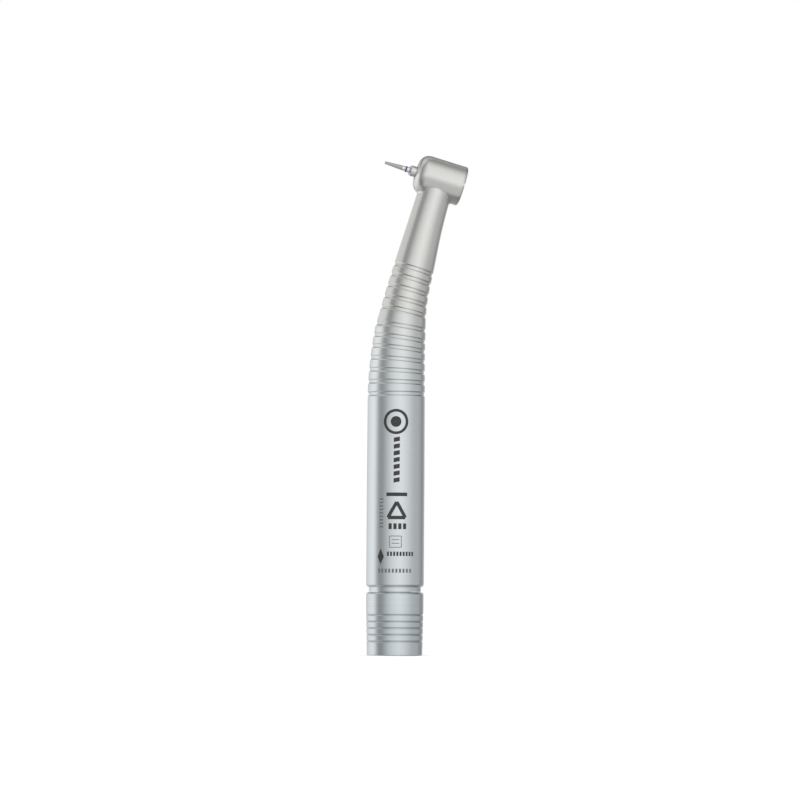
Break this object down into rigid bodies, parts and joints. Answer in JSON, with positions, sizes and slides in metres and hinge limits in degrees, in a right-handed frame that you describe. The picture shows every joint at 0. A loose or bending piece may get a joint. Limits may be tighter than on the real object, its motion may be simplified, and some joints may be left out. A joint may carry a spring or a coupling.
{
  "type": "dental high speed handpiece",
  "caption": "Slim metal air-turbine handpiece with a grooved bent neck, push-button head, tapered bur and a grooved swivel collar.",
  "frame": {"origin": "centre of the flat rear end face, where the hose connector goes in", "axes": "+Z along the straight grip towards the head, +X the way the neck leans, -X the side the bur points to"},
  "size_m": [0.0277, 0.016, 0.1391],
  "materials": {
    "warm_steel": "bead blasted, slightly warm",
    "cool_steel": "bead blasted, slightly cool",
    "machined_steel": "fine turned",
    "bearing_steel": "ground and polished",
    "shank_steel": "polished, bright",
    "ball_ceramic": "polished dark ceramic",
    "cage_plastic": "moulded resin",
    "black_rubber": "matte",
    "light_alloy": "machined",
    "brass_parts": "machined",
    "diamond_grit": "coarse grit bonded in nickel",
    "blue_band": "enamel"
  },
  "bodies": {
    "handle": {"head_housing": "warm_steel", "head_cap": "warm_steel", "bearing_carrier": "machined_steel", "button_spring": "machined_steel", "front_bearing_outer_ring": "bearing_steel", "rear_bearing_outer_ring": "bearing_steel", "front_cartridge_ring": "black_rubber", "rear_cartridge_ring": "black_rubber", "preload_washer": "machined_steel", "water_nozzle": "machined_steel", "air_nozzle": "machined_steel", "drive_nozzle": "brass_parts", "handle_shell": "cool_steel", "drive_air_tube": "machined_steel", "water_tube": "machined_steel", "chip_air_tube": "machined_steel", "tube_spacer": "light_alloy", "receiver_block": "light_alloy", "receiver_seal": "black_rubber", "waist_ring": "cool_steel"},
    "button": {"push_button": "machined_steel"},
    "rotor": {"spindle": "bearing_steel", "impeller": "light_alloy", "front_bearing_inner_ring": "bearing_steel", "rear_bearing_inner_ring": "bearing_steel", "collet_chuck": "machined_steel", "bur_guide": "machined_steel", "dust_shield": "machined_steel"},
    "wedge": {"release_wedge": "machined_steel"},
    "bur": {"bur_shank": "shank_steel", "bur_diamond": "diamond_grit", "bur_band": "blue_band"},
    "front_ball_set": {"front_bearing_balls": "ball_ceramic", "front_bearing_cage": "cage_plastic"},
    "rear_ball_set": {"rear_bearing_balls": "ball_ceramic", "rear_bearing_cage": "cage_plastic"},
    "coupler": {"rear_collar": "cool_steel", "coupler_stem": "machined_steel", "stem_seals": "black_rubber", "stem_clip": "machined_steel", "connector_block": "light_alloy", "connector_gasket": "black_rubber", "drive_air_pipe": "machined_steel", "exhaust_pipe": "machined_steel", "water_pipe": "machined_steel", "chip_air_pipe": "machined_steel", "inlet_filter": "brass_parts"}
  },
  "joints": [
    {"name": "rotor_spin", "type": "hinge", "parent": "handle", "child": "rotor", "pos_m": [0.0118, 0, 0.13258], "axis": [-0.9593, 0, 0.2823], "continuous": true},
    {"name": "front_balls_orbit", "type": "hinge", "parent": "handle", "child": "front_ball_set", "pos_m": [0.0118, 0, 0.13258], "axis": [-0.9593, 0, 0.2823], "continuous": true},
    {"name": "rear_balls_orbit", "type": "hinge", "parent": "handle", "child": "rear_ball_set", "pos_m": [0.0118, 0, 0.13258], "axis": [-0.9593, 0, 0.2823], "continuous": true},
    {"name": "button_press", "type": "slide", "parent": "handle", "child": "button", "axis": [-0.9593, 0, 0.2823], "range_m": [0, 0.0006], "stiffness_N_per_m": 12000, "springref_m": -0.0004, "deforming": ["button_spring"]},
    {"name": "wedge_push", "type": "slide", "parent": "rotor", "child": "wedge", "axis": [-0.9593, 0, 0.2823], "range_m": [0, 0.0003]},
    {"name": "bur_pull", "type": "slide", "parent": "rotor", "child": "bur", "axis": [-0.9593, 0, 0.2823], "range_m": [0, 0.016]},
    {"name": "coupler_swivel", "type": "hinge", "parent": "handle", "child": "coupler", "pos_m": [0, 0, 0], "axis": [0, 0, 1], "continuous": true}
  ],
  "couplings": [
    {"joint": "front_balls_orbit", "follows": "rotor_spin", "ratio": 0.395},
    {"joint": "rear_balls_orbit", "follows": "rotor_spin", "ratio": 0.395},
    {"joint": "wedge_push", "follows": "button_press", "ratio": 0.5}
  ]
}
